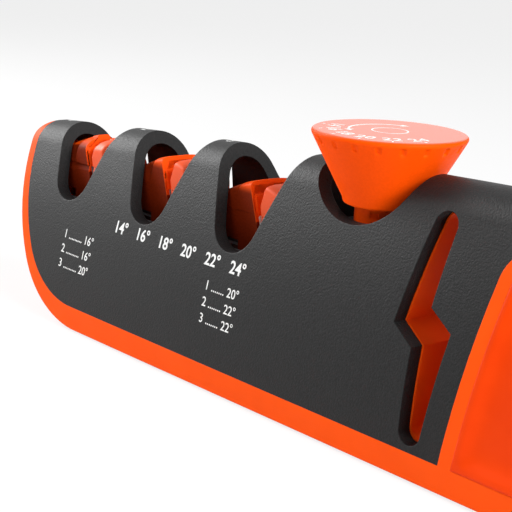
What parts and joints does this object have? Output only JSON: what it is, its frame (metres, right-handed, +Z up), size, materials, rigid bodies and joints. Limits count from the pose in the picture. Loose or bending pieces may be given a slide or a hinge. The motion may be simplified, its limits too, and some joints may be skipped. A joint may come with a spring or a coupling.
{
  "type": "knife sharpener",
  "caption": "Hand-held knife and scissors sharpener with fluted pull-through stages, a push-and-turn angle dial, a cranked scissors slot and a padded handle.",
  "frame": {"origin": "middle of the footprint, on the table under the ribbed sole", "axes": "+X along the body from the end rim to the handle's tip, +Y across it to the rear, +Z up"},
  "size_m": [0.2924, 0.048, 0.0805],
  "materials": {
    "shell_black": "fine satin texture",
    "body_orange": "semi gloss",
    "pad_orange": "soft satin",
    "plate_black": "matte",
    "rubber_black": "matte",
    "frame_grey": "matte",
    "steel": "brushed",
    "abrasive_coarse": "coarse diamond grit",
    "abrasive_medium": "medium diamond grit",
    "ceramic": "fine ceramic"
  },
  "bodies": {
    "base": {"upper_shell": "shell_black", "base_housing": "body_orange", "grip_pad_front": "pad_orange", "grip_pad_rear": "pad_orange", "base_plate": "plate_black", "rubber_sole": "rubber_black", "handle_sole": "rubber_black", "base_screws": "steel", "chassis": "frame_grey", "pivot_pins": "steel", "scissors_guide": "body_orange", "scissors_rod": "ceramic", "dial_bearing": "shell_black", "dial_spring": "steel"},
    "plunger": {"detent_collar": "frame_grey"},
    "dial": {"dial_knob": "body_orange", "drive_shaft": "steel", "shaft_clip": "steel"},
    "pinion_wheel": {"pinion": "frame_grey"},
    "rack": {"cam_rack": "frame_grey"},
    "holder_left_1_body": {"holder_left_1": "body_orange", "stone_left_1": "abrasive_coarse"},
    "holder_right_1_body": {"holder_right_1": "body_orange", "stone_right_1": "abrasive_coarse"},
    "holder_left_2_body": {"holder_left_2": "body_orange", "stone_left_2": "abrasive_medium"},
    "holder_right_2_body": {"holder_right_2": "body_orange", "stone_right_2": "abrasive_medium"},
    "holder_left_3_body": {"holder_left_3": "body_orange", "stone_left_3": "ceramic"},
    "holder_right_3_body": {"holder_right_3": "body_orange", "stone_right_3": "ceramic"}
  },
  "joints": [
    {"name": "dial_push", "type": "slide", "parent": "base", "child": "plunger", "axis": [0, 0, -1], "range_m": [0, 0.002], "stiffness_N_per_m": 2000, "springref_m": -0.002, "deforming": ["dial_spring"]},
    {"name": "dial_turn", "type": "hinge", "parent": "plunger", "child": "dial", "pos_m": [0.0116, 0, 0.0507], "axis": [0, 0, 1], "range_deg": [-54, 36]},
    {"name": "pinion_turn", "type": "hinge", "parent": "base", "child": "pinion_wheel", "pos_m": [0.0116, 0, 0.0247], "axis": [0, 0, 1], "range_deg": [-54, 36]},
    {"name": "rack_slide", "type": "slide", "parent": "base", "child": "rack", "axis": [1, 0, 0], "range_m": [-0.0023, 0.0034]},
    {"name": "holder_left_1_tilt", "type": "hinge", "parent": "base", "child": "holder_left_1_body", "pos_m": [-0.1144, 0, 0.0363], "axis": [0, 1, 0], "range_deg": [-6, 4]},
    {"name": "holder_right_1_tilt", "type": "hinge", "parent": "base", "child": "holder_right_1_body", "pos_m": [-0.1144, 0, 0.0363], "axis": [0, 1, 0], "range_deg": [-4, 6]},
    {"name": "holder_left_2_tilt", "type": "hinge", "parent": "base", "child": "holder_left_2_body", "pos_m": [-0.0724, 0, 0.0363], "axis": [0, 1, 0], "range_deg": [-6, 4]},
    {"name": "holder_right_2_tilt", "type": "hinge", "parent": "base", "child": "holder_right_2_body", "pos_m": [-0.0724, 0, 0.0363], "axis": [0, 1, 0], "range_deg": [-4, 6]},
    {"name": "holder_left_3_tilt", "type": "hinge", "parent": "base", "child": "holder_left_3_body", "pos_m": [-0.0304, 0, 0.0363], "axis": [0, 1, 0], "range_deg": [-6, 4]},
    {"name": "holder_right_3_tilt", "type": "hinge", "parent": "base", "child": "holder_right_3_body", "pos_m": [-0.0304, 0, 0.0363], "axis": [0, 1, 0], "range_deg": [-4, 6]}
  ],
  "couplings": [
    {"joint": "pinion_turn", "follows": "dial_turn", "ratio": 1},
    {"joint": "rack_slide", "follows": "dial_turn", "m_per_rad": -0.0036},
    {"joint": "holder_left_1_tilt", "follows": "dial_turn", "ratio": 0.11111},
    {"joint": "holder_right_1_tilt", "follows": "dial_turn", "ratio": -0.11111},
    {"joint": "holder_left_2_tilt", "follows": "dial_turn", "ratio": 0.11111},
    {"joint": "holder_right_2_tilt", "follows": "dial_turn", "ratio": -0.11111},
    {"joint": "holder_left_3_tilt", "follows": "dial_turn", "ratio": 0.11111},
    {"joint": "holder_right_3_tilt", "follows": "dial_turn", "ratio": -0.11111}
  ]
}
